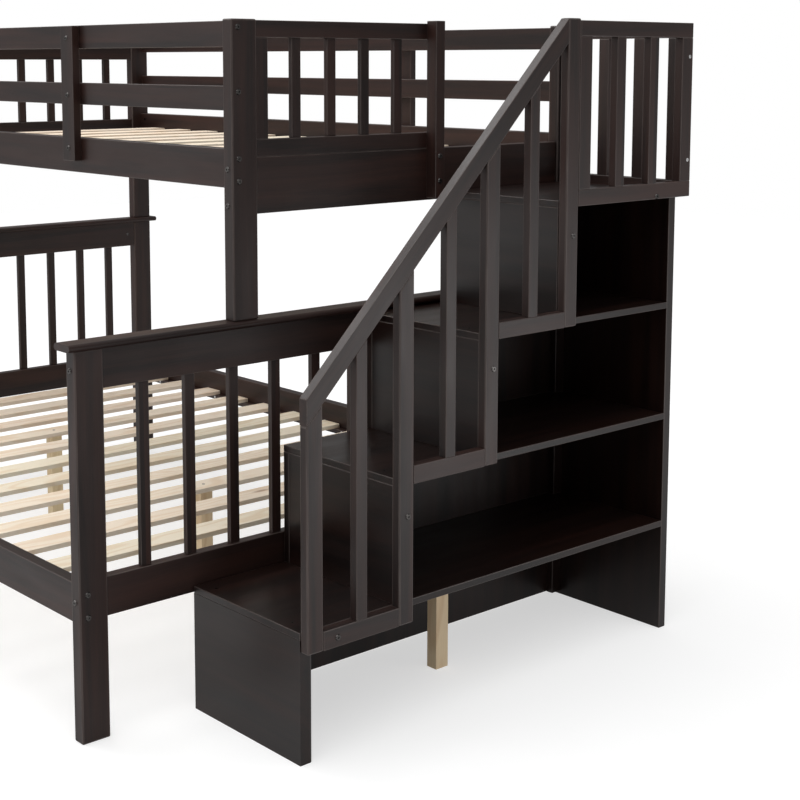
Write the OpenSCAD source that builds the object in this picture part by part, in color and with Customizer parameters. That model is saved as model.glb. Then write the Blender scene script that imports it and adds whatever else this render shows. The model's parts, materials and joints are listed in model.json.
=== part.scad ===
// Bunk bed: wide lower bunk, narrower upper bunk, slatted bases, and a storage stair at the foot end.
// Millimetres, +Z up, floor at Z 0, origin under the middle of the whole outline.
// Sub-parts are laid out from the front corner of the foot end, then moved to the origin.

/* [Overall] */
// Length over the end posts
bed_len = 1989; // [1800:1:2200]
// Width over the lower posts
bed_w = 1450; // [1200:1:1700]
// Front edge of the upper bunk, measured back from the lower front post
bunk_front = 383; // [0:1:500]

/* [Posts] */
// Post size along the bed
post_x = 32; // [24:1:50]
// Post size across the bed
post_y = 65; // [45:1:90]
// Height of the lower posts
low_post_h = 800; // [600:1:1000]
// Top of the upper posts
up_post_top = 1445; // [1300:1:1700]

/* [Caps] */
// Cap thickness
cap_t = 15; // [10:1:25]
// Cap overhang past the posts, along the bed
cap_lip_x = 13; // [6:1:20]
// Cap overhang past the posts, across the bed
cap_lip_y = 18; // [6:1:30]

/* [End rails] */
// Thickness of the end rails and end boards
end_t = 24; // [16:1:30]
// Set-back of rails and boards behind the post faces
set_back = 6; // [0:1:12]
// Height of the lower end rails
end_rail_h = 82; // [60:1:120]
// Underside of the low end rail
low_rail_z = 252; // [200:1:350]
// Spindles at each lower end
low_spindles = 11; // [5:1:15]
// Spindle width
spindle_w = 25; // [15:1:40]
// Spindle thickness
spindle_t = 12; // [8:1:20]

/* [Side rails] */
// Thickness of the bed side rails
side_t = 28; // [20:1:40]
// Height of the bed side rails
side_h = 82; // [60:1:140]
// Underside of the lower side rails
low_side_z = 246; // [180:1:320]
// Underside of the upper side rails
up_side_z = 1095; // [1000:1:1250]
// Thickness of guard rails and braces
guard_t = 20; // [15:1:30]
// Cleat width under the slats
cleat_w = 22; // [15:1:40]

/* [Slats] */
// Slats in each bunk
slats = 12; // [8:1:16]
// Slat width
slat_w = 70; // [50:1:100]
// Slat thickness
slat_t = 12; // [9:1:20]
// Spacing of the slats
slat_pitch = 153.5; // [110:0.5:180]
// Top of the lower slats
low_slat_top = 272; // [200:1:350]
// Top of the upper slats
up_slat_top = 1131; // [1050:1:1250]

/* [Upper ends] */
// Underside of the end boards
board_z = 1038; // [950:1:1150]
// Height of the end boards
board_h = 120; // [80:1:160]
// Spindles in the head-end panel
head_spindles = 8; // [4:1:12]
// Back edge of the short foot-end guard
stile_back = 968; // [850:1:1100]

/* [Stair] */
// Width of the treads and boards
stair_w = 355; // [300:1:450]
// Thickness of the outer stair guard
rail_t = 23; // [18:1:30]
// Thickness of treads and risers
board_t = 15; // [12:1:22]
// Going of each step
going = 240; // [180:1:280]
// Front of the first riser
stair_front = 272; // [150:1:400]
// Heights of the three treads and the landing
step_top = [268, 530, 796, 1058];
// Bed-side panel thickness
panel_t = 18; // [12:1:24]
// Inner face of the rear panel
rear_y = 1378; // [1200:1:1420]
// Rear panel thickness
rear_t = 23; // [15:1:30]
// Stair post width
stair_post_w = 39; // [30:1:60]
// Top of the landing guard
landing_top = 1449; // [1300:1:1600]

/* [Hidden] */
bolt_head_h = 2.4;
foot_x = (bed_len + cap_lip_x - stair_w - rail_t - bolt_head_h) / 2;
low_mid_y = bed_w / 2;
cap_top = low_post_h + cap_t;
rail_face = -set_back - end_t;
rail_mid = -set_back - end_t / 2;
bunk_in = bunk_front + post_y;
wall_in = bed_w - post_y;
inner_x = post_x;
top_rail_z = low_post_h - end_rail_h;
rear_out = rear_y + rear_t;
stair_out = stair_w + rail_t;
mid_rail_z = [1256, 1307];
top_guard_z = [1387, 1441];
head_rail_z = [1362, 1441];
foot_low_z = [board_z + board_h, 1195];
foot_top_z = [1407, 1443];
stile_w = 28;
stile_x = 32;
stile_top = 1449;
brace_x = [-661, -608];
brace_z = [1123, 1440];
leg_slats = [3, 8];
first_slat = 150;
handrail_z0 = 403;
handrail_drop = 53;
landing_y = stair_front + 3 * going;
shank_r = 3;
bore_r = 3.4;
nut_r = 5;
nut_back = 6;
nut_in = 26;
dowel_r = 5;
side_bolt_z = [14.5, 61.5];
step_post_y = [stair_front + 1, stair_front + 237, stair_front + 478, stair_front + 721];
step_post_z = [229, 229, 516, 782];
step_rail_z = [[229, 268], [516, 554], [782, 817]];
step_spindle_y = [396, 636, 878];
$fn = 20;

// ---------- helpers ----------

// The middle of a range.
function mid(range) = (range[0] + range[1]) / 2;

// A block from one corner to the opposite corner.
module block(lo, hi) {
    translate(lo) cube([hi[0] - lo[0], hi[1] - lo[1], hi[2] - lo[2]]);
}

// Everything is drawn from the foot-end front corner and moved here.
module at_origin() {
    translate([foot_x, -low_mid_y, 0]) children();
}

// Foot end as drawn, head end mirrored.
module at_end(is_head) {
    if (is_head) translate([-bed_len, 0, 0]) mirror([1, 0, 0]) children();
    else children();
}

// Front side as drawn from its outer face at y, wall side mirrored from the wall face.
module at_side(front_y, is_wall) {
    if (is_wall) translate([0, bed_w, 0]) mirror([0, 1, 0]) children();
    else translate([0, front_y, 0]) children();
}

// A cylinder along X, Y or Z, centred on its axis, starting at p.
module rod_x(p, len, r) {
    translate(p) rotate([0, 90, 0]) cylinder(h = len, r = r);
}
module rod_y(p, len, r) {
    translate(p) rotate([-90, 0, 0]) cylinder(h = len, r = r);
}
module rod_z(p, len, r) {
    translate(p) cylinder(h = len, r = r);
}

// A plate cut to a profile in Y and Z, between two X faces.
module profile_plate(x0, x1, points) {
    translate([x0, 0, 0]) rotate([90, 0, 90]) linear_extrude(height = x1 - x0) polygon(points);
}

// Round-headed bolt with a hex socket, head outward along +Z, shank going down.
module bolt(len, head_r = 6.5, head_h = bolt_head_h) {
    difference() {
        union() {
            cylinder(h = head_h, r1 = head_r, r2 = head_r - 1.2);
            translate([0, 0, -len]) cylinder(h = len, r = shank_r);
        }
        translate([0, 0, 0.8]) cylinder(h = head_h, r = 2.2, $fn = 6);
    }
}
// The same bolt with its head outward along +X or -Y.
module bolt_px(p, len) {
    translate(p) rotate([0, 90, 0]) bolt(len);
}
module bolt_my(p, len) {
    translate(p) rotate([90, 0, 0]) bolt(len);
}

// Countersunk wood screw, head flush, cross slot, pointing down.
module wood_screw(len) {
    difference() {
        union() {
            translate([0, 0, -2.5]) cylinder(h = 2.5, r1 = 2, r2 = 4.2);
            translate([0, 0, -len]) cylinder(h = len - 2.4, r = 2);
        }
        translate([-2.4, -0.5, -1]) cube([4.8, 1, 2]);
        translate([-0.5, -2.4, -1]) cube([1, 4.8, 2]);
    }
}
// The hole such a screw sits in.
module screw_hole(len) {
    translate([0, 0, -2.5]) cylinder(h = 2.6, r1 = 2, r2 = 4.3);
    translate([0, 0, -len - 0.5]) cylinder(h = len, r = 2.1);
}

// ---------- lower bunk ----------

low_cleat_z = [low_side_z, low_slat_top - slat_t];
up_cleat_z = [up_side_z + 4, up_slat_top - slat_t];

// Heights of the bolts that hold the two lower end rails.
low_end_bolt_z = [low_rail_z + end_rail_h / 2 - 2, top_rail_z + end_rail_h / 2];
side_mid_y = 5 + side_t / 2;

module low_post(is_head, is_wall) {
    color("#3a2a28") at_origin() at_end(is_head) at_side(0, is_wall) difference() {
        block([-post_x, 0, 0], [0, post_y, low_post_h]);
        for (z = side_bolt_z) rod_x([-post_x - 1, side_mid_y, low_side_z + z], post_x + 2, bore_r);
        for (z = low_end_bolt_z) rod_y([rail_mid, -1, z], post_y + 2, bore_r);
        if (is_wall) rod_z([-post_x / 2, post_y / 2, low_post_h - 30], 31, dowel_r);
    }
}

// Long cap with rounded long edges, resting on two posts and the top rail.
module cap(is_head) {
    r = cap_t / 2;
    color("#3a2a28") at_origin() at_end(is_head) difference() {
        union() {
            block([-post_x - cap_lip_x + r, -cap_lip_y, low_post_h],
                  [cap_lip_x - r, bed_w + cap_lip_y, cap_top]);
            for (x = [-post_x - cap_lip_x + r, cap_lip_x - r])
                rod_y([x, -cap_lip_y, low_post_h + r], bed_w + 2 * cap_lip_y, r);
        }
        for (y = [bunk_front + post_y / 2, bed_w - post_y / 2])
            rod_z([-post_x / 2, y, low_post_h - 1], cap_t + 2, dowel_r);
    }
}

// Bores that an end rail needs at both ends: bolts along Y and their cross nuts.
module end_rail_bores(y0, y1, z) {
    for (y = [y0 - 1, y1 - nut_in - 8]) rod_y([rail_mid, y, z], nut_in + 9, bore_r);
    for (y = [y0 + nut_in, y1 - nut_in]) rod_x([rail_face - 1, y, z], end_t / 2 + nut_back + 1, nut_r + 0.2);
}

module low_top_rail(is_head) {
    color("#3a2a28") at_origin() at_end(is_head) difference() {
        block([rail_face, post_y, top_rail_z], [-set_back, wall_in, low_post_h]);
        end_rail_bores(post_y, wall_in, low_end_bolt_z[1]);
        rod_z([-post_x / 2, bunk_front + post_y / 2, low_post_h - 30], 31, dowel_r);
    }
}

module low_bottom_rail(is_head) {
    color("#3a2a28") at_origin() at_end(is_head) difference() {
        block([rail_face, post_y, low_rail_z], [-set_back, wall_in, low_rail_z + end_rail_h]);
        end_rail_bores(post_y, wall_in, low_end_bolt_z[0]);
    }
}

// Evenly spaced flat spindles between two rails.
module spindle_row(y0, y1, z0, z1, count) {
    gap = (y1 - y0 - count * spindle_w) / (count + 1);
    for (i = [0 : count - 1]) {
        y = y0 + gap + i * (gap + spindle_w);
        block([rail_mid - spindle_t / 2, y, z0], [rail_mid + spindle_t / 2, y + spindle_w, z1]);
    }
}

module low_end_spindles(is_head) {
    color("#3a2a28") at_origin() at_end(is_head)
        spindle_row(post_y, wall_in, low_rail_z + end_rail_h, top_rail_z, low_spindles);
}

// Slat positions along the bed, and the screws that hold each cleat.
function slat_mid(i) = -first_slat - i * slat_pitch;
cleat_screw_x = [for (i = [0 : 5]) -200 - i * 325];
cleat_screw_len = cleat_w + 10;
cleat_end = 48;

// Side rail with bolt bores and cross-nut pockets in both ends, and pilot holes for its cleat.
module side_rail(y0, z0, screw_z) {
    centre = y0 + side_t / 2;
    difference() {
        block([-bed_len + inner_x, y0, z0], [-inner_x, y0 + side_t, z0 + side_h]);
        for (z = side_bolt_z) {
            for (x = [-inner_x - nut_in - 8, -bed_len + inner_x - 1])
                rod_x([x, centre, z0 + z], nut_in + 9, bore_r);
            for (x = [-inner_x - nut_in, -bed_len + inner_x + nut_in])
                rod_y([x, centre - nut_back, z0 + z], side_t / 2 + nut_back + 1, nut_r + 0.2);
        }
        for (x = cleat_screw_x) rod_y([x, y0 + side_t - 12, screw_z], 13, 2.1);
    }
}

module low_side_rail(is_wall) {
    color("#3a2a28") at_origin() at_side(0, is_wall) side_rail(5, low_side_z, mid(low_cleat_z));
}

// Cleat inside a side rail, screwed on from its inner face.
module cleat(y0, z0, z1) {
    difference() {
        block([-bed_len + inner_x + cleat_end, y0, z0], [-inner_x - cleat_end, y0 + cleat_w, z1]);
        for (x = cleat_screw_x)
            translate([x, y0 + cleat_w, (z0 + z1) / 2]) rotate([-90, 0, 0]) screw_hole(cleat_w);
    }
}

module slat_cleats() {
    color("#3a2a28") at_origin() for (w = [false, true]) {
        at_side(0, w) cleat(5 + side_t, low_cleat_z[0], low_cleat_z[1]);
        at_side(bunk_front, w) cleat(up_side_off + side_t, up_cleat_z[0], up_cleat_z[1]);
    }
}

module slat_set(y0, y1, top) {
    for (i = [0 : slats - 1])
        block([slat_mid(i) - slat_w / 2, y0, top - slat_t], [slat_mid(i) + slat_w / 2, y1, top]);
}

module low_slats() {
    color("#e6c79c") at_origin() difference() {
        slat_set(7 + side_t, bed_w - 7 - side_t, low_slat_top);
        for (i = leg_slats) translate([slat_mid(i), low_mid_y, low_slat_top]) screw_hole(slat_t + 2);
    }
}

leg_size = [30, 36];
module centre_legs() {
    color("#e6c79c") at_origin() difference() {
        for (i = leg_slats)
            block([slat_mid(i) - leg_size[0] / 2, low_mid_y - leg_size[1] / 2, 0],
                  [slat_mid(i) + leg_size[0] / 2, low_mid_y + leg_size[1] / 2, low_slat_top - slat_t]);
        for (i = leg_slats) rod_z([slat_mid(i), low_mid_y, low_slat_top - slat_t - 24], 25, 2.1);
    }
}

// ---------- upper bunk ----------

up_side_off = 3;
up_rail_bolt_z = [1295, 1428];
up_side_bolt_z = [for (z = side_bolt_z) up_side_z + z];
board_bolt_z = [1058, 1134];
head_bolt_z = 1401;

module up_post(is_head, is_wall) {
    color("#3a2a28") at_origin() at_end(is_head) at_side(bunk_front, is_wall) difference() {
        block([-post_x, 0, cap_top], [0, post_y, up_post_top]);
        for (z = up_side_bolt_z) rod_x([-post_x - 1, up_side_off + side_t / 2, z], post_x + 2, bore_r);
        for (z = up_rail_bolt_z) rod_x([-post_x - 1, up_side_off + guard_t / 2 + 4, z], post_x + 2, bore_r);
        for (z = board_bolt_z) rod_y([rail_mid, -1, z], post_y + 2, bore_r);
        if (is_head) rod_y([rail_mid, -1, head_bolt_z], post_y + 2, bore_r);
        rod_z([-post_x / 2, post_y / 2, cap_top - 1], 31, dowel_r);
    }
}

module up_side_rail(is_wall) {
    color("#3a2a28") at_origin() at_side(bunk_front, is_wall) difference() {
        side_rail(up_side_off, up_side_z, mid(up_cleat_z));
        rod_y([mid(brace_x), up_side_off - 1, brace_bolt_z[0]], side_t + 2, bore_r);
    }
}

module up_slats() {
    color("#e6c79c") at_origin()
        slat_set(bunk_front + up_side_off + side_t + 2, bed_w - up_side_off - side_t - 2, up_slat_top);
}

// Guard rail along one side, bored at both ends for its bolts and across for the brace bolt.
module guard_rail(zs, bolt_z, brace_z) {
    y0 = up_side_off;
    difference() {
        block([-bed_len + inner_x, y0, zs[0]], [-inner_x, y0 + guard_t, zs[1]]);
        for (x = [-inner_x - 40, -bed_len + inner_x - 1])
            rod_x([x, y0 + guard_t / 2 + 4, bolt_z], 41, bore_r);
        rod_y([mid(brace_x), y0 - 1, brace_z], guard_t + 2, bore_r);
    }
}

brace_bolt_z = [1153, 1278, 1411];

module guard_rails(is_wall) {
    color("#3a2a28") at_origin() at_side(bunk_front, is_wall) {
        guard_rail(mid_rail_z, up_rail_bolt_z[0], brace_bolt_z[1]);
        guard_rail(top_guard_z, up_rail_bolt_z[1], brace_bolt_z[2]);
    }
}

// Uprights over the outer faces of the side rails and guard rails.
module guard_braces() {
    color("#3a2a28") at_origin() for (w = [false, true]) at_side(bunk_front, w) difference() {
        block([brace_x[0], up_side_off - guard_t, brace_z[0]], [brace_x[1], up_side_off, brace_z[1]]);
        for (z = brace_bolt_z) rod_y([mid(brace_x), up_side_off - guard_t - 1, z], guard_t + 2, bore_r);
    }
}

// ---------- upper ends ----------

// The board that closes each end of the upper bunk at slat height.
module end_board(is_head) {
    color("#3a2a28") at_origin() at_end(is_head) difference() {
        block([rail_face, bunk_in, board_z], [-set_back, wall_in, board_z + board_h]);
        for (y = [bunk_in - 1, wall_in - 33], z = board_bolt_z) rod_y([rail_mid, y, z], 34, bore_r);
        if (!is_head) for (z = stile_bolt_z) rod_x([-set_back - 14, stile_mid_y, z], 15, bore_r);
    }
}

module head_top_rail() {
    color("#3a2a28") at_origin() at_end(true) difference() {
        block([rail_face, bunk_in, head_rail_z[0]], [-set_back, wall_in, head_rail_z[1]]);
        for (y = [bunk_in - 1, wall_in - 33]) rod_y([rail_mid, y, head_bolt_z], 34, bore_r);
    }
}

module head_spindle_row() {
    color("#3a2a28") at_origin() at_end(true)
        spindle_row(bunk_in, wall_in, board_z + board_h, head_rail_z[0], head_spindles);
}

foot_end_stile = 34;
foot_spindle_y = [550, 648, 745, 844];
foot_guard_x = [-set_back - guard_t, -set_back];
stile_bolt_z = [1084, 1141];
stile_mid_y = stile_back - stile_w / 2;

module foot_guard_rails() {
    color("#3a2a28") at_origin() for (z = [foot_low_z, foot_top_z])
        block([foot_guard_x[0], bunk_in, z[0]], [foot_guard_x[1], stile_back, z[1]]);
}

// Four spindles and the stile that stands against the front post.
module foot_guard_uprights() {
    color("#3a2a28") at_origin() {
        block([foot_guard_x[0], bunk_in, foot_low_z[1]],
              [foot_guard_x[1], bunk_in + foot_end_stile, foot_top_z[0]]);
        for (y = foot_spindle_y)
            block([rail_mid - spindle_t / 2, y, foot_low_z[1]],
                  [rail_mid + spindle_t / 2, y + spindle_w, foot_top_z[0]]);
    }
}

// Upright beside the way in from the stair, fixed to the outer face of the end board.
module entrance_stile() {
    color("#3a2a28") at_origin() difference() {
        block([-set_back, stile_back - stile_w, board_z + 5], [stile_x - set_back, stile_back, stile_top]);
        for (z = stile_bolt_z) rod_x([-set_back - 1, stile_mid_y, z], stile_x + 2, bore_r);
    }
}

// ---------- stair ----------

function step_front(i) = stair_front + i * going;
function board_bottom(i) = step_top[i] - board_t;
riser_t = [32, board_t, board_t, board_t];
free_edge_r = 9;
block_w = 22;
screw_x = [44, 299];
screw_back = 27;
batten = [20, 30];
floor_gap = 8;
outer_bolts = [[348, 248], [532, 452], [773, 721], [1016, 982]];
landing_bolt = [1302, 1051];

// Room for the cap of the foot end where stair boards stand against the bed.
module cap_room() {
    block([-1, 0, low_post_h - 1], [cap_lip_x + 1, bed_w, cap_top + 1]);
}

// The first riser: a thick board over the whole width, its free back edge rounded.
module first_riser(y, back) {
    r = free_edge_r;
    block([0, y, 0], [stair_w - r, back, board_bottom(0)]);
    block([stair_w - r, y, 0], [stair_w, back - r, board_bottom(0)]);
    rod_z([stair_w - r, back - r, 0], board_bottom(0), r);
}

// Riser under step i. Those above the first stand between boards.
module riser(i) {
    y = step_front(i);
    color("#3a2a28") at_origin() difference() {
        if (i == 0) first_riser(y, y + riser_t[0]);
        else block([panel_t, y, step_top[i - 1]], [stair_w, y + riser_t[i], board_bottom(i)]);
        if (i == 0) for (x = screw_x) rod_z([x, y + screw_back, board_bottom(0) - 24], 25, 2.1);
    }
}

// Tread i runs back to the rear panel and serves as a shelf.
module tread(i) {
    y = step_front(i);
    color("#3a2a28") at_origin() difference() {
        block([0, y, board_bottom(i)], [stair_w, rear_y, step_top[i]]);
        for (x = screw_x) translate([x, y + screw_back, step_top[i]]) screw_hole(board_t + 2);
    }
}

module landing() {
    color("#3a2a28") at_origin() difference() {
        block([0, landing_y, board_bottom(3)], [stair_w, rear_out, step_top[3]]);
        for (x = screw_x) translate([x, landing_y + screw_back, step_top[3]]) screw_hole(board_t + 2);
        rod_x([stair_w - 20, landing_bolt[0], landing_bolt[1]], 21, bore_r);
    }
}

// Underside of the boards that stand on level i. The lowest ones stop short of the floor.
function level_z(i) = i == 0 ? floor_gap : step_top[i - 1];

// Bed-side panels, one per level.
module side_panels() {
    color("#3a2a28") at_origin() difference() {
        for (i = [0 : 3])
            block([0, step_front(i) + (i == 0 ? riser_t[0] : 0), level_z(i)],
                  [panel_t, rear_y, board_bottom(i)]);
        cap_room();
    }
}

module rear_panel() {
    color("#3a2a28") at_origin() difference() {
        block([0, rear_y, 0], [stair_w, rear_out, board_bottom(3)]);
        cap_room();
    }
}

// Battens in the corner of the side and rear panels, cleats behind the risers that take the
// tread screws, and blocks inside the outer edge that take the bolts of the stepped guard.
module stair_battens() {
    color("#3a2a28") at_origin() difference() {
        union() {
            for (i = [0 : 3])
                block([panel_t, rear_y - batten[1], level_z(i)],
                      [panel_t + batten[0], rear_y, board_bottom(i)]);
            block([stair_w - block_w, outer_bolts[0][0] - 30, step_rail_z[0][0]],
                  [stair_w, outer_bolts[0][0] + 30, board_bottom(0)]);
            for (i = [1 : 3]) {
                y = step_front(i) + board_t;
                block([panel_t, y, board_bottom(i) - 20],
                      [stair_w - block_w - 1, y + block_w, board_bottom(i)]);
                block([stair_w - block_w, y, step_top[i - 1]], [stair_w, y + block_w, board_bottom(i)]);
            }
        }
        for (i = [1 : 3], x = screw_x) rod_z([x, step_front(i) + screw_back, board_bottom(i) - 15], 16, 2.1);
        for (b = outer_bolts) rod_x([stair_w - 20, b[0], b[1]], 21, bore_r);
    }
}

module stair_leg() {
    color("#e6c79c") at_origin() block([156, 797, 0], [186, 834, board_bottom(0)]);
}

// A point on the underside of the handrail.
function rail_under(y) = [y, y + handrail_z0];

// Upright of the stepped guard, its top cut to the slope of the handrail.
module guard_upright(y, w, z, x0) {
    profile_plate(x0, stair_out, [[y, z], [y + w, z], rail_under(y + w), rail_under(y)]);
}

module stair_posts() {
    color("#3a2a28") at_origin() difference() {
        union() {
            for (i = [0 : 2]) guard_upright(step_post_y[i], stair_post_w, step_post_z[i], stair_w);
            block([stair_w, step_post_y[3], step_post_z[3]],
                  [stair_out, step_post_y[3] + stair_post_w, landing_top]);
        }
        for (i = [1 : 3]) rod_x([stair_w - 1, outer_bolts[i][0], outer_bolts[i][1]], rail_t + 2, bore_r);
    }
}

module stair_rails() {
    color("#3a2a28") at_origin() difference() {
        for (i = [0 : 2])
            block([stair_w, step_post_y[i] + stair_post_w, step_rail_z[i][0]],
                  [stair_out, step_post_y[i + 1], step_rail_z[i][1]]);
        rod_x([stair_w - 1, outer_bolts[0][0], outer_bolts[0][1]], rail_t + 2, bore_r);
    }
}

module stair_spindles() {
    color("#3a2a28") at_origin() for (i = [0 : 2])
        guard_upright(step_spindle_y[i], stile_w, step_rail_z[i][1], stair_out - guard_t);
}

module handrail() {
    low = rail_under(step_post_y[0]);
    high = rail_under(step_post_y[3]);
    drop = [0, handrail_drop];
    color("#3a2a28") at_origin() profile_plate(stair_w, stair_out, [low, high, high + drop, low + drop]);
}

// Landing guard on the outer side of the stair.
wall_guard_t = 22;
guard_low_z = [1045, 1081];
guard_top_z = [landing_top - 38, landing_top - 4];
outer_guard_y = [step_post_y[3] + stair_post_w, rear_out + wall_guard_t];
outer_stile_w = 38;
outer_spindle_y = [1154, 1269];
outer_spindle_w = 30;
wall_upright_x = [[10, 41], [115, 146], [222, 253], [323, stair_w]];
wall_screw_z = [1130, 1368];

module outer_guard_rails() {
    color("#3a2a28") at_origin() difference() {
        for (z = [guard_low_z, guard_top_z])
            block([stair_w, outer_guard_y[0], z[0]], [stair_out, outer_guard_y[1], z[1]]);
        rod_x([stair_w - 1, landing_bolt[0], landing_bolt[1]], rail_t + 2, bore_r);
    }
}

module outer_guard_uprights() {
    y0 = outer_guard_y[0];
    y1 = outer_guard_y[1];
    color("#3a2a28") at_origin() difference() {
        union() {
            for (y = [y0, y1 - outer_stile_w])
                block([stair_w, y, guard_low_z[1]], [stair_out, y + outer_stile_w, guard_top_z[0]]);
            for (y = outer_spindle_y)
                block([stair_out - guard_t, y, guard_low_z[1]],
                      [stair_out, y + outer_spindle_w, guard_top_z[0]]);
        }
        for (z = wall_screw_z)
            translate([stair_out, rear_out + wall_guard_t / 2, z]) rotate([0, 90, 0]) screw_hole(rail_t + 2);
    }
}

// Landing guard on the wall side: two rails and four uprights.
module wall_guard_rails() {
    color("#3a2a28") at_origin() for (z = [guard_low_z, guard_top_z])
        block([0, rear_out, z[0]], [stair_w, rear_out + wall_guard_t, z[1]]);
}

module wall_guard_uprights() {
    color("#3a2a28") at_origin() difference() {
        for (x = wall_upright_x)
            block([x[0], rear_out, guard_low_z[1]], [x[1], rear_out + wall_guard_t, guard_top_z[0]]);
        for (z = wall_screw_z) rod_x([stair_w - 22, rear_out + wall_guard_t / 2, z], 23, 2.1);
    }
}

// ---------- fasteners ----------

side_bolt_len = post_x + nut_in + nut_r + 1;
end_bolt_len = post_y + nut_in + nut_r + 1;

// Bolts of the bed: through the posts into the rails, and through the guard braces, whose heads
// are outside on the front and inside on the wall side.
module frame_bolts() {
    wall_face = bed_w - up_side_off;
    color("#2b2b2d") at_origin() {
        for (h = [false, true], w = [false, true]) at_end(h) {
            at_side(0, w) {
                for (z = side_bolt_z) bolt_px([0, side_mid_y, low_side_z + z], side_bolt_len);
                for (z = low_end_bolt_z) bolt_my([rail_mid, 0, z], end_bolt_len);
            }
            at_side(bunk_front, w) {
                for (z = up_side_bolt_z) bolt_px([0, up_side_off + side_t / 2, z], side_bolt_len);
                for (z = up_rail_bolt_z) bolt_px([0, up_side_off + guard_t / 2 + 4, z], side_bolt_len);
                for (z = board_bolt_z) bolt_my([rail_mid, 0, z], post_y + 30);
                if (h) bolt_my([rail_mid, 0, head_bolt_z], post_y + 30);
            }
        }
        for (i = [0 : 2]) {
            wall_t = i == 0 ? side_t : guard_t;
            bolt_my([mid(brace_x), bunk_front + up_side_off - guard_t, brace_bolt_z[i]], 2 * guard_t - 4);
            bolt_my([mid(brace_x), wall_face - wall_t, brace_bolt_z[i]], wall_t + guard_t - 4);
        }
    }
}

module stair_bolts() {
    color("#2b2b2d") at_origin() {
        for (b = outer_bolts) bolt_px([stair_out, b[0], b[1]], rail_t + 18);
        bolt_px([stair_out, landing_bolt[0], landing_bolt[1]], rail_t + 18);
        for (z = stile_bolt_z) bolt_px([stile_x - set_back, stile_mid_y, z], stile_x + 12);
    }
}

// Cross nuts that the frame bolts screw into.
module cross_nuts() {
    color("#9a9a9c") at_origin() difference() {
        for (h = [false, true], w = [false, true]) at_end(h) {
            for (y0 = [0, bunk_front]) at_side(y0, w) {
                off = y0 == 0 ? side_mid_y : up_side_off + side_t / 2;
                z0 = y0 == 0 ? low_side_z : up_side_z;
                for (z = side_bolt_z)
                    rod_y([-inner_x - nut_in, off - nut_back, z0 + z], side_t / 2 + nut_back - 1, nut_r);
            }
            at_side(0, w) for (z = low_end_bolt_z)
                rod_x([rail_face + 1, post_y + nut_in, z], end_t / 2 + nut_back - 1, nut_r);
        }
        for (h = [false, true], w = [false, true]) at_end(h) {
            for (y0 = [0, bunk_front]) at_side(y0, w) {
                off = y0 == 0 ? side_mid_y : up_side_off + side_t / 2;
                z0 = y0 == 0 ? low_side_z : up_side_z;
                for (z = side_bolt_z) rod_x([-inner_x - nut_in - 8, off, z0 + z], 16, shank_r + 0.1);
            }
            at_side(0, w) for (z = low_end_bolt_z)
                rod_y([rail_mid, post_y + nut_in - 8, z], 16, shank_r + 0.1);
        }
    }
}

// Plain dowels that stand the upper posts on the caps.
module cap_dowels() {
    color("#c8a878") at_origin() for (h = [false, true]) at_end(h)
        for (y = [bunk_front + post_y / 2, bed_w - post_y / 2])
            rod_z([-post_x / 2, y, low_post_h - 30], 2 * 30 + cap_t, dowel_r - 0.2);
}

// Bright wood screws: two in the landing guard, six in each slat cleat.
module bright_screws() {
    color("#b8b8ba") at_origin() {
        for (z = wall_screw_z)
            translate([stair_out, rear_out + wall_guard_t / 2, z]) rotate([0, 90, 0]) wood_screw(rail_t + 18);
        for (w = [false, true], x = cleat_screw_x) {
            at_side(0, w) translate([x, 5 + side_t + cleat_w, mid(low_cleat_z)])
                rotate([-90, 0, 0]) wood_screw(cleat_screw_len);
            at_side(bunk_front, w) translate([x, up_side_off + side_t + cleat_w, mid(up_cleat_z)])
                rotate([-90, 0, 0]) wood_screw(cleat_screw_len);
        }
    }
}

// Dark wood screws: two at the front of each tread and the landing, one over each centre leg.
module dark_screws() {
    color("#2b2b2d") at_origin() {
        for (i = [0 : 3], x = screw_x)
            translate([x, step_front(i) + screw_back, step_top[i]]) wood_screw(board_t + 14);
        for (i = leg_slats)
            translate([slat_mid(i), low_mid_y, low_slat_top]) wood_screw(slat_t + 20);
    }
}

// ---------- nodes ----------

ENDS = ["foot", "head"];
SIDES = ["front", "wall"];
NODES = [
    for (part = ["low_post", "up_post"], e = ENDS, s = SIDES) str(part, "_", e, "_", s),
    for (part = ["cap", "low_top_rail", "low_bottom_rail", "low_spindles", "end_board"], e = ENDS)
        str(part, "_", e),
    for (part = ["low_side_rail", "up_side_rail", "guard_rails"], s = SIDES) str(part, "_", s),
    "guard_braces", "slat_cleats", "low_slats", "up_slats", "centre_legs",
    "head_top_rail", "head_spindles", "foot_guard_rails", "foot_guard_uprights", "entrance_stile",
    for (i = [1 : 4]) str("riser_", i),
    for (i = [1 : 3]) str("tread_", i),
    "landing", "side_panels", "rear_panel", "stair_battens", "stair_leg",
    "stair_posts", "stair_rails", "stair_spindles", "handrail",
    "outer_guard_rails", "outer_guard_uprights", "wall_guard_rails", "wall_guard_uprights",
    "frame_bolts", "stair_bolts", "cross_nuts", "cap_dowels", "bright_screws", "dark_screws"
];
node = "all";

// True when this name is to be drawn.
function on(name) = node == "all" || node == name;

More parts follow.
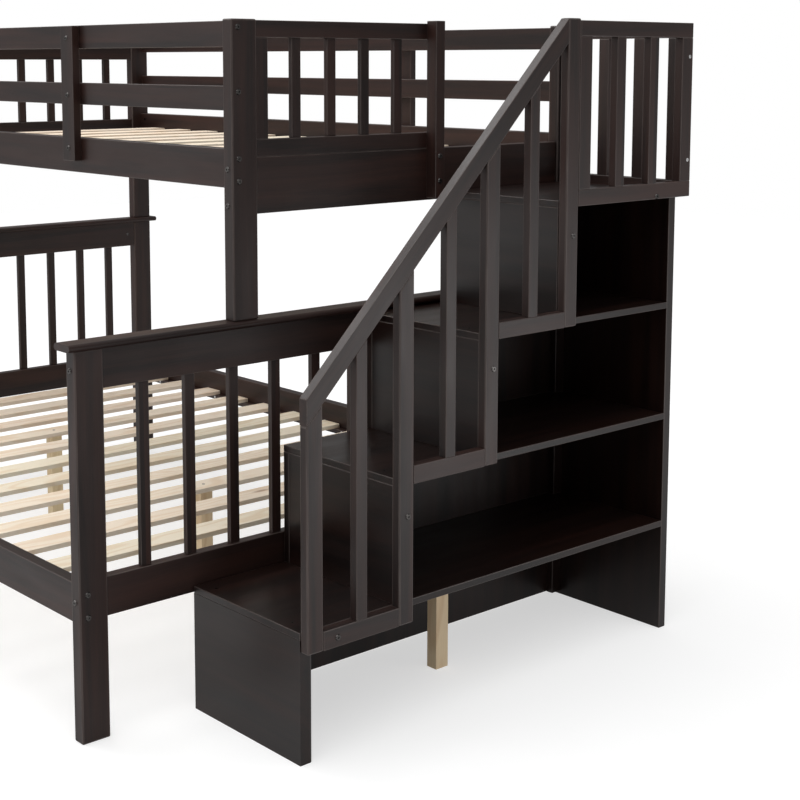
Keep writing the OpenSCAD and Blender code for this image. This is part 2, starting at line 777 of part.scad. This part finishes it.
for (e = [0, 1], s = [0, 1]) {
    if (on(str("low_post_", ENDS[e], "_", SIDES[s]))) low_post(e == 1, s == 1);
    if (on(str("up_post_", ENDS[e], "_", SIDES[s]))) up_post(e == 1, s == 1);
}
for (e = [0, 1]) {
    if (on(str("cap_", ENDS[e]))) cap(e == 1);
    if (on(str("low_top_rail_", ENDS[e]))) low_top_rail(e == 1);
    if (on(str("low_bottom_rail_", ENDS[e]))) low_bottom_rail(e == 1);
    if (on(str("low_spindles_", ENDS[e]))) low_end_spindles(e == 1);
    if (on(str("end_board_", ENDS[e]))) end_board(e == 1);
}
for (s = [0, 1]) {
    if (on(str("low_side_rail_", SIDES[s]))) low_side_rail(s == 1);
    if (on(str("up_side_rail_", SIDES[s]))) up_side_rail(s == 1);
    if (on(str("guard_rails_", SIDES[s]))) guard_rails(s == 1);
}
if (on("guard_braces")) guard_braces();
if (on("slat_cleats")) slat_cleats();
if (on("low_slats")) low_slats();
if (on("up_slats")) up_slats();
if (on("centre_legs")) centre_legs();
if (on("head_top_rail")) head_top_rail();
if (on("head_spindles")) head_spindle_row();
if (on("foot_guard_rails")) foot_guard_rails();
if (on("foot_guard_uprights")) foot_guard_uprights();
if (on("entrance_stile")) entrance_stile();
for (i = [0 : 3]) if (on(str("riser_", i + 1))) riser(i);
for (i = [0 : 2]) if (on(str("tread_", i + 1))) tread(i);
if (on("landing")) landing();
if (on("side_panels")) side_panels();
if (on("rear_panel")) rear_panel();
if (on("stair_battens")) stair_battens();
if (on("stair_leg")) stair_leg();
if (on("stair_posts")) stair_posts();
if (on("stair_rails")) stair_rails();
if (on("stair_spindles")) stair_spindles();
if (on("handrail")) handrail();
if (on("outer_guard_rails")) outer_guard_rails();
if (on("outer_guard_uprights")) outer_guard_uprights();
if (on("wall_guard_rails")) wall_guard_rails();
if (on("wall_guard_uprights")) wall_guard_uprights();
if (on("frame_bolts")) frame_bolts();
if (on("stair_bolts")) stair_bolts();
if (on("cross_nuts")) cross_nuts();
if (on("cap_dowels")) cap_dowels();
if (on("bright_screws")) bright_screws();
if (on("dark_screws")) dark_screws();
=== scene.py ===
"""Looks for the bunk bed with storage stair: stained and bare woods, steel fasteners, softened
edges, a white studio and the camera. Every part of the bed is a CAD node; only a floor is added."""
import json
import math

import bpy
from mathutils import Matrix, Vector

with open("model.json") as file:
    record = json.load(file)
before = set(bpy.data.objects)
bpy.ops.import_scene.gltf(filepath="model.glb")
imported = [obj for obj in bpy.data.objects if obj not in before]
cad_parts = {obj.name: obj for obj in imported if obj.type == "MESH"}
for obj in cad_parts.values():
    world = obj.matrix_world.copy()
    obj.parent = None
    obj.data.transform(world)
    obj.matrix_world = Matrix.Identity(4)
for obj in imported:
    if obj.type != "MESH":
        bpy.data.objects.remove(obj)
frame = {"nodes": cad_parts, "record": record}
NODES = frame["nodes"]
SLOTS = {part["node"]: part["material_slot"] for part in frame["record"]["subparts"]}
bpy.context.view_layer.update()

# ---------- camera ----------

CAMERA_AT = (3.3629, -2.2033, 1.3594)
CAMERA_YAW = 49.02
CAMERA_PITCH = 7.0
CAMERA_LENS = 68.48
CAMERA_SHIFT = (0.0473, -0.1909)


def add_camera():
    """The photo's camera, turned a little down with a smaller shift of the lens."""
    data = bpy.data.cameras.new("camera")
    data.lens = CAMERA_LENS
    data.sensor_width = 36.0
    data.shift_x, data.shift_y = CAMERA_SHIFT
    camera = bpy.data.objects.new("camera", data)
    camera.location = CAMERA_AT
    camera.rotation_euler = (math.radians(90 - CAMERA_PITCH), 0, math.radians(CAMERA_YAW))
    bpy.context.scene.collection.objects.link(camera)
    bpy.context.scene.camera = camera


# ---------- shader helpers ----------

BUMP_DEPTH = 0.0004
NOISE_SPREAD = (0.3, 0.7)  # where nearly all values of a noise lie


class Graph:
    """Short names for making and joining shader nodes."""

    def __init__(self, name):
        self.material = bpy.data.materials.new(name)
        self.material.use_nodes = True
        self.tree = self.material.node_tree
        self.shader = self.tree.nodes["Principled BSDF"]

    def add(self, kind, **values):
        """A node, with its properties or input sockets set by name."""
        node = self.tree.nodes.new(kind)
        for key, value in values.items():
            if hasattr(node, key):
                setattr(node, key, value)
            else:
                node.inputs[key.replace("_", " ")].default_value = value
        return node

    def join(self, out, into):
        self.tree.links.new(out, into)

    def put(self, value, socket):
        """Sets a socket to a number or a colour, or joins another socket to it."""
        if isinstance(value, (int, float)):
            socket.default_value = value
        elif isinstance(value, tuple):
            socket.default_value = (*value, 1.0)
        else:
            self.join(value, socket)

    def math(self, operation, a, b):
        node = self.add("ShaderNodeMath", operation=operation)
        self.put(a, node.inputs[0])
        self.put(b, node.inputs[1])
        return node.outputs[0]

    def mix(self, factor, a, b, blend="MIX"):
        node = self.add("ShaderNodeMix", data_type="RGBA", blend_type=blend)
        self.put(factor, node.inputs[0])
        self.put(a, node.inputs[6])
        self.put(b, node.inputs[7])
        return node.outputs[2]

    def remap(self, value, low, high, to_low=0.0, to_high=1.0):
        """The stretch from low to high carried over to the stretch from to_low to to_high."""
        node = self.add("ShaderNodeMapRange")
        self.join(value, node.inputs[0])
        for socket, number in zip(node.inputs[1:5], (low, high, to_low, to_high)):
            socket.default_value = number
        return node.outputs[0]

    def noise(self, coords, scale=1.0, detail=3.0, roughness=0.5, distortion=0.0):
        node = self.add(
            "ShaderNodeTexNoise", Scale=scale, Detail=detail, Roughness=roughness, Distortion=distortion
        )
        self.join(coords, node.inputs["Vector"])
        return node.outputs["Fac"]

    def vector(self, operation, first, *others):
        """Vector maths on a socket and the plain vectors or sockets after it."""
        node = self.add("ShaderNodeVectorMath", operation=operation)
        self.join(first, node.inputs[0])
        for socket, value in zip(node.inputs[1:], others):
            if isinstance(value, tuple):
                socket.default_value = value
            else:
                self.join(value, socket)
        return node.outputs[0]

    def stretch(self, coords, along, across):
        """Coordinates scaled so that a texture draws out into fibres along X."""
        return self.vector("MULTIPLY", coords, (along, across, across))

    def scaled(self, colour, factor):
        """A colour made lighter or darker by a socket."""
        node = self.add("ShaderNodeVectorMath", operation="SCALE")
        self.join(colour, node.inputs[0])
        self.join(factor, node.inputs["Scale"])
        return node.outputs[0]

    def bump(self, height, strength):
        """Joins a height to the shader as fine relief."""
        node = self.add("ShaderNodeBump", Strength=strength, Distance=BUMP_DEPTH)
        self.join(height, node.inputs["Height"])
        self.join(node.outputs[0], self.shader.inputs["Normal"])


# Rotations of the coordinates that bring the fibre of each direction onto X.
TURNS = {
    "X": (0.0, 0.0, 0.0),
    "Y": (0.0, 0.0, math.radians(-90)),
    "Z": (0.0, math.radians(90), 0.0),
    "slope": (math.radians(-45), 0.0, math.radians(-90)),
}
ONE_STICK = (0, 0, 0)
NO_PHASE = (0, 0, 0)
STICK_SHIFT = 7.0  # moves the texture from stick to stick


def grain_coords(g, grain, rows, phase):
    """Coordinates turned so that the fibre runs along X, and a random value for each stick.
    rows is how many tints there are in a metre along each axis, and phase moves their borders."""
    coords = g.add("ShaderNodeTexCoord").outputs["Object"]
    turned = g.add("ShaderNodeMapping", vector_type="POINT")
    turned.inputs["Rotation"].default_value = TURNS[grain]
    g.join(coords, turned.inputs["Vector"])
    steps = g.vector("MULTIPLY_ADD", coords, rows, phase)
    white = g.add("ShaderNodeTexWhiteNoise", noise_dimensions="3D")
    g.join(g.vector("FLOOR", steps), white.inputs["Vector"])
    shifted = g.vector("MULTIPLY_ADD", white.outputs["Color"], (STICK_SHIFT,) * 3, turned.outputs[0])
    return shifted, white.outputs["Value"]


# ---------- materials ----------

DARK_STAIN = (0.0072, 0.0030, 0.0025)
BROWN_STAIN = (0.0340, 0.0128, 0.0090)
FIBRE_STAIN = (0.0430, 0.0205, 0.0155)
CLOUD_STAIN = (0.0170, 0.0088, 0.0075)
# A lighter colour laid on the rounded edges: a painted highlight line where they catch the light.
PAINTED_EDGE_HIGHLIGHT = (0.115, 0.092, 0.084)

# How far each texture draws out: its scale along the fibre and across it.
FIGURE_GRAIN = (1.3, 26.0)
STAIN_FIBRE = (14.0, 620.0)
CLOUD_GRAIN = (3.0, 7.0)
SMEAR_GRAIN = (5.0, 22.0)
LACQUER = (0.12, 0.3)  # coat weight and roughness
STICK_SHADES = (0.9, 1.12)

# Strength of the stain, specular level and roughness of each stained wood.
FINISHES = {
    "bed_wood": (1.0, 0.33, 0.46),
    "stair_wood": (0.5, 0.36, 0.34),
    "guard_wood": (0.95, 0.43, 0.44),
}


def stained_wood(name, grain, finish, rows, edge=False):
    """Espresso stain on straight-grained softwood under a satin lacquer."""
    strength, gloss, roughness = finish
    g = Graph(name)
    coords, stick = grain_coords(g, grain, rows, NO_PHASE)
    figure = g.noise(g.stretch(coords, *FIGURE_GRAIN), detail=4.0, roughness=0.55, distortion=0.6)
    fibre = g.noise(g.stretch(coords, *STAIN_FIBRE), roughness=0.6)
    cloud = g.noise(g.stretch(coords, *CLOUD_GRAIN), detail=2.0)
    smear = g.noise(g.stretch(coords, *SMEAR_GRAIN))

    def tinted(colour):
        return tuple(channel * strength for channel in colour)

    colour = g.mix(g.remap(figure, 0.36, 0.66), tinted(DARK_STAIN), tinted(BROWN_STAIN))
    colour = g.mix(g.remap(fibre, 0.48, 0.72, 0.0, 0.35), colour, tinted(FIBRE_STAIN))
    colour = g.mix(g.remap(cloud, *NOISE_SPREAD, 0.0, 0.35), colour, tinted(CLOUD_STAIN))
    colour = g.scaled(colour, g.remap(stick, 0.0, 1.0, *STICK_SHADES))
    # The rounded edges take a lighter colour in streaks along the fibre: a painted highlight.
    if edge:
        colour = g.mix(g.remap(fibre, 0.35, 0.7, 0.25, 0.7), colour, PAINTED_EDGE_HIGHLIGHT)
    g.join(colour, g.shader.inputs["Base Color"])
    smeared = g.remap(smear, *NOISE_SPREAD, roughness - 0.05, roughness + 0.06)
    g.join(smeared, g.shader.inputs["Roughness"])
    g.shader.inputs["Specular IOR Level"].default_value = gloss
    g.shader.inputs["Coat Weight"].default_value = LACQUER[0]
    g.shader.inputs["Coat Roughness"].default_value = LACQUER[1]
    g.bump(g.math("ADD", fibre, g.math("MULTIPLY", figure, 0.8)), 0.35)
    return g.material


PALE_PINE = ((0.86, 0.77, 0.66), (0.76, 0.60, 0.44))
WARM_PINE = ((0.84, 0.68, 0.47), (0.72, 0.52, 0.32))
KNOT_BROWN = (0.30, 0.15, 0.07)
WANDER_GRAIN = (1.6, 7.0)
RING_GRAIN = (0.35, 1.0)
RING_WANDER = (0.0, 0.35, 0.2)
PINE_FIBRE = (12.0, 520.0)
KNOT_GRAIN = (2.6, 9.0)
STICK_TINTS = ((1.0, 0.92, 0.90), (0.94, 0.95, 0.88), (1.0, 0.97, 0.93), (0.96, 0.88, 0.80))


def stick_tint(g, stick):
    """One of a few pinkish, greenish and yellowish tints, or a blend of two, for each stick."""
    ramp = g.add("ShaderNodeValToRGB")
    stops = ramp.color_ramp.elements
    for place in (1 / 3, 2 / 3):
        stops.new(place)
    for stop, tint in zip(stops, STICK_TINTS):
        stop.color = (*tint, 1.0)
    g.join(stick, ramp.inputs[0])
    return ramp.outputs[0]


def bare_pine(name, grain, colours, rows=ONE_STICK, phase=NO_PHASE):
    """Planed pine: pale ground, warm year lines, a few small knots, each stick its own tint."""
    pale, warm = colours
    g = Graph(name)
    coords, stick = grain_coords(g, grain, rows, phase)
    wander = g.noise(g.stretch(coords, *WANDER_GRAIN), detail=2.0)
    rings = g.add("ShaderNodeTexWave", wave_type="BANDS", bands_direction="Y")
    for socket, number in (("Scale", 9.0), ("Distortion", 2.2), ("Detail", 2.0), ("Detail Scale", 0.6)):
        rings.inputs[socket].default_value = number
    flow = g.vector("MULTIPLY_ADD", wander, RING_WANDER, g.stretch(coords, *RING_GRAIN))
    g.join(flow, rings.inputs["Vector"])
    fibre = g.noise(g.stretch(coords, *PINE_FIBRE), roughness=0.6)
    knots = g.add("ShaderNodeTexVoronoi", feature="F1", Scale=1.0)
    g.join(g.stretch(coords, *KNOT_GRAIN), knots.inputs["Vector"])
    colour = g.mix(g.remap(rings.outputs["Fac"], 0.45, 1.0, 0.0, 0.62), pale, warm)
    colour = g.mix(g.remap(fibre, 0.5, 0.75, 0.0, 0.3), colour, tuple(c * 0.8 for c in warm))
    colour = g.mix(g.remap(knots.outputs["Distance"], 0.05, 0.10, 0.75, 0.0), colour, KNOT_BROWN)
    g.join(g.mix(1.0, colour, stick_tint(g, stick), "MULTIPLY"), g.shader.inputs["Base Color"])
    g.join(g.remap(fibre, *NOISE_SPREAD, 0.55, 0.68), g.shader.inputs["Roughness"])
    g.bump(fibre, 0.3)
    return g.material


BLACK_STEEL = ((0.10, 0.094, 0.091), 0.27)
ZINC_STEEL = ((0.86, 0.86, 0.87), 0.45)
PATCH_SCALE = 180.0
SCRATCH_GRAIN = (900.0, 160.0)


def metal(name, colour, roughness):
    """Turned steel with fine scratches and patchy dulling."""
    g = Graph(name)
    coords = g.add("ShaderNodeTexCoord").outputs["Object"]
    patches = g.noise(coords, scale=PATCH_SCALE)
    scratches = g.noise(g.stretch(coords, *SCRATCH_GRAIN), detail=2.0)
    dull = tuple(channel * 0.6 for channel in colour)
    g.join(g.mix(g.remap(patches, 0.35, 0.7, 0.0, 0.6), colour, dull), g.shader.inputs["Base Color"])
    scratched = g.remap(scratches, *NOISE_SPREAD, roughness - 0.06, roughness + 0.06)
    g.join(scratched, g.shader.inputs["Roughness"])
    g.shader.inputs["Metallic"].default_value = 1.0
    return g.material


# ---------- softened edges ----------

SHORTEST_SOFT_EDGE = 0.008
SHARP_ANGLE = math.radians(40)
FLAT_ANGLE = math.radians(1)
WELD_GAP = 0.00002


def edge_marker():
    """A geometry node group that weights the long sharp edges of a board, not the bore rims."""
    group = bpy.data.node_groups.new("mark_long_edges", "GeometryNodeTree")
    group.interface.new_socket("Geometry", in_out="INPUT", socket_type="NodeSocketGeometry")
    group.interface.new_socket("Geometry", in_out="OUTPUT", socket_type="NodeSocketGeometry")
    link = group.links.new

    def maths(kind, operation):
        node = group.nodes.new(kind)
        node.operation = operation
        return node

    ends = group.nodes.new("GeometryNodeInputMeshEdgeVertices")
    length = maths("ShaderNodeVectorMath", "DISTANCE")
    link(ends.outputs["Position 1"], length.inputs[0])
    link(ends.outputs["Position 2"], length.inputs[1])
    is_long = maths("ShaderNodeMath", "GREATER_THAN")
    link(length.outputs["Value"], is_long.inputs[0])
    is_long.inputs[1].default_value = SHORTEST_SOFT_EDGE
    angle = group.nodes.new("GeometryNodeInputMeshEdgeAngle")
    is_sharp = maths("ShaderNodeMath", "GREATER_THAN")
    link(angle.outputs["Unsigned Angle"], is_sharp.inputs[0])
    is_sharp.inputs[1].default_value = SHARP_ANGLE
    both = maths("ShaderNodeMath", "MULTIPLY")
    link(is_long.outputs[0], both.inputs[0])
    link(is_sharp.outputs[0], both.inputs[1])
    store = group.nodes.new("GeometryNodeStoreNamedAttribute")
    store.data_type = "FLOAT"
    store.domain = "EDGE"
    store.inputs["Name"].default_value = "bevel_weight_edge"
    into = group.nodes.new("NodeGroupInput")
    out = group.nodes.new("NodeGroupOutput")
    link(into.outputs[0], store.inputs["Geometry"])
    link(both.outputs[0], store.inputs["Value"])
    link(store.outputs["Geometry"], out.inputs[0])
    return group


LONG_EDGES = edge_marker()


def soften(node, width):
    """Joins a CAD node's split corners and flat triangles and rounds its long edges, with the
    rounded faces in the second material slot. The modifiers leave its own mesh as it is."""
    weld = node.modifiers.new("weld", "WELD")
    weld.merge_threshold = WELD_GAP
    flat = node.modifiers.new("flat", "DECIMATE")
    flat.decimate_type = "DISSOLVE"
    flat.angle_limit = FLAT_ANGLE
    mark = node.modifiers.new("mark", "NODES")
    mark.node_group = LONG_EDGES
    bevel = node.modifiers.new("bevel", "BEVEL")
    bevel.width = width
    bevel.segments = 3
    bevel.limit_method = "WEIGHT"
    bevel.use_clamp_overlap = True
    bevel.loop_slide = False
    bevel.material = 1
    normals = node.modifiers.new("normals", "WEIGHTED_NORMAL")
    normals.mode = "FACE_AREA"
    normals.weight = 100
    normals.keep_sharp = True


def dress(name, materials, width=0.0):
    """Gives a CAD node its materials, and rounded edges where a width is given."""
    node = NODES[name]
    node.data.materials.clear()
    for material in materials:
        node.data.materials.append(material)
    for polygon in node.data.polygons:
        polygon.material_index = 0
    if width:
        soften(node, width)


# ---------- finishes on the nodes ----------

# Widths of the rounded edges.
BOARD_ROUND = 0.0016
POST_ROUND = 0.0035
PINE_ROUND = 0.0012

# Distances between the borders at which a row of sticks changes its tint.
SPINDLE_PITCH = 0.1122
SLAT_PITCH = 0.1535
GUARD_RAIL_STEP = 0.1
LEG_STEP = 0.4

SPINDLE_ROWS = (0, 1 / SPINDLE_PITCH, 0)
SLAT_ROWS = (1 / SLAT_PITCH, 0, 0)
GUARD_ROWS = (0, 0, 1 / GUARD_RAIL_STEP)
LEG_ROWS = (1 / LEG_STEP, 0, 0)

# Moves the borders between slats into the gaps, and gives each bunk its own tints.
SLAT_PHASES = {"low_slats": (0.45, 0, 0), "up_slats": (0.45, 7, 0)}

# How the names of the boards begin whose fibre runs along X and along Y. All others stand.
GRAIN_X = ("low_side_rail", "up_side_rail", "slat_cleats", "riser", "wall_guard_rails")
GRAIN_Y = (
    "cap_", "low_top_rail", "low_bottom_rail", "end_board", "head_top_rail", "foot_guard_rails",
    "stair_rails", "outer_guard_rails", "tread", "landing",
)
made = {}


def grain_of(name):
    """The direction of the fibre and the rows of sticks in a stained node."""
    if name.startswith("guard_rails"):
        return "X", GUARD_ROWS
    if name.startswith(GRAIN_X):
        return "X", ONE_STICK
    if name.startswith(GRAIN_Y):
        return "Y", ONE_STICK
    if name == "handrail":
        return "slope", ONE_STICK
    if "spindles" in name or "uprights" in name:
        return "Z", SPINDLE_ROWS
    return "Z", ONE_STICK


def stained_pair(slot, grain, rows):
    """A stained wood and its copy for the rounded edges with a painted highlight, made once for each
    finish, direction and spacing.
    """
    key = (slot, grain, rows)
    if key not in made:
        name = f"{slot}_{len(made):02d}"
        made[key] = (
            stained_wood(name, grain, FINISHES[slot], rows),
            stained_wood(name + "_edge", grain, FINISHES[slot], rows, edge=True),
        )
    return made[key]


def dress_all():
    """Finishes every node: stained by its material slot, the others by name."""
    for name, slot in SLOTS.items():
        if slot in FINISHES:
            width = POST_ROUND if "post" in name else BOARD_ROUND
            dress(name, stained_pair(slot, *grain_of(name)), width)
    for name, phase in SLAT_PHASES.items():
        slat_pine = bare_pine(name + "_pine", "Y", PALE_PINE, SLAT_ROWS, phase)
        dress(name, [slat_pine] * 2, PINE_ROUND)
    leg_pine = bare_pine("leg_pine", "Z", WARM_PINE, LEG_ROWS)
    for name in ("centre_legs", "stair_leg"):
        dress(name, [leg_pine] * 2, PINE_ROUND)
    dress("cap_dowels", [bare_pine("dowel_pine", "Z", WARM_PINE)])
    black_steel = metal("black_steel", *BLACK_STEEL)
    for name in ("frame_bolts", "stair_bolts", "cross_nuts", "dark_screws"):
        dress(name, [black_steel])
    dress("bright_screws", [metal("zinc_steel", *ZINC_STEEL)])


# ---------- studio ----------

FLOOR_HALF = 9.0
FLOOR_SEEN = 0.58  # glow towards the camera
FLOOR_FELT = 0.2  # glow towards the object
WHITE = (1.0, 1.0, 1.0, 1.0)


def floor_paint():
    """Matt white that glows a little to the camera, so that shadows on it stay faint, and less
    to the object, so that its undersides stay dark."""
    g = Graph("floor_paint")
    coords = g.add("ShaderNodeTexCoord").outputs["Object"]
    patches = g.remap(g.noise(coords, scale=3.0, detail=2.0), *NOISE_SPREAD)
    g.join(g.mix(patches, (0.50, 0.50, 0.50), (0.49, 0.49, 0.49)), g.shader.inputs["Base Color"])
    g.shader.inputs["Roughness"].default_value = 0.9
    g.shader.inputs["Specular IOR Level"].default_value = 0.2
    g.shader.inputs["Emission Color"].default_value = WHITE
    seen = g.add("ShaderNodeLightPath").outputs["Is Camera Ray"]
    g.join(g.remap(seen, 0.0, 1.0, FLOOR_FELT, FLOOR_SEEN), g.shader.inputs["Emission Strength"])
    return g.material


def add_floor():
    """A square floor round the origin."""
    mesh = bpy.data.meshes.new("floor")
    corners = [(x * FLOOR_HALF, y * FLOOR_HALF, 0.0) for x, y in ((-1, -1), (1, -1), (1, 1), (-1, 1))]
    mesh.from_pydata(corners, [], [(0, 1, 2, 3)])
    mesh.materials.append(floor_paint())
    floor = bpy.data.objects.new("floor", mesh)
    bpy.context.scene.collection.objects.link(floor)


def add_room(seen, felt):
    """A white room, dimmer in what it lights and in reflections than it looks behind the object."""
    world = bpy.data.worlds.new("studio")
    world.use_nodes = True
    tree = world.node_tree
    lights = tree.nodes["Background"]
    sweep = tree.nodes.new("ShaderNodeBackground")
    for background, strength in ((lights, felt), (sweep, seen)):
        background.inputs["Color"].default_value = WHITE
        background.inputs["Strength"].default_value = strength
    rays = tree.nodes.new("ShaderNodeLightPath")
    choose = tree.nodes.new("ShaderNodeMixShader")
    tree.links.new(rays.outputs["Is Camera Ray"], choose.inputs[0])
    tree.links.new(lights.outputs[0], choose.inputs[1])
    tree.links.new(sweep.outputs[0], choose.inputs[2])
    tree.links.new(choose.outputs[0], tree.nodes["World Output"].inputs["Surface"])
    bpy.context.scene.world = world


def aim(name, data, at, target):
    """Places a light and points it at a target."""
    light = bpy.data.objects.new(name, data)
    light.location = at
    light.rotation_euler = (Vector(target) - Vector(at)).to_track_quat("-Z", "Y").to_euler()
    light.visible_camera = False
    bpy.context.scene.collection.objects.link(light)


def softbox(name, at, target, size, brightness):
    """A rectangular light whose surface has the given brightness."""
    data = bpy.data.lights.new(name, "AREA")
    data.shape = "RECTANGLE"
    data.size, data.size_y = size
    data.energy = brightness * math.pi * size[0] * size[1]
    aim(name, data, at, target)


def ceiling_light(at, strength, spread):
    """An even light from far above that whitens the floor and the slats."""
    data = bpy.data.lights.new("ceiling", "SUN")
    data.energy = strength
    data.angle = math.radians(spread)
    aim("ceiling", data, at, (0, 0, 0))


# ---------- scene ----------

add_camera()
dress_all()
add_floor()
add_room(seen=1.0, felt=0.3)
softbox("front_left", (-1.9, -3.3, 1.3), (0.5, -0.4, 0.8), (3.0, 2.2), 0.68)
softbox("low_right", (3.0, 1.2, 0.4), (1.1, -0.1, 0.5), (1.4, 0.9), 1.9)
softbox("overhead", (-1.3, -0.8, 3.6), (0.6, -0.1, 0.8), (2.4, 2.4), 3.4)
ceiling_light((0.6, -1.2, 4.0), 2.0, 80)
bpy.context.scene.view_settings.view_transform = "Standard"
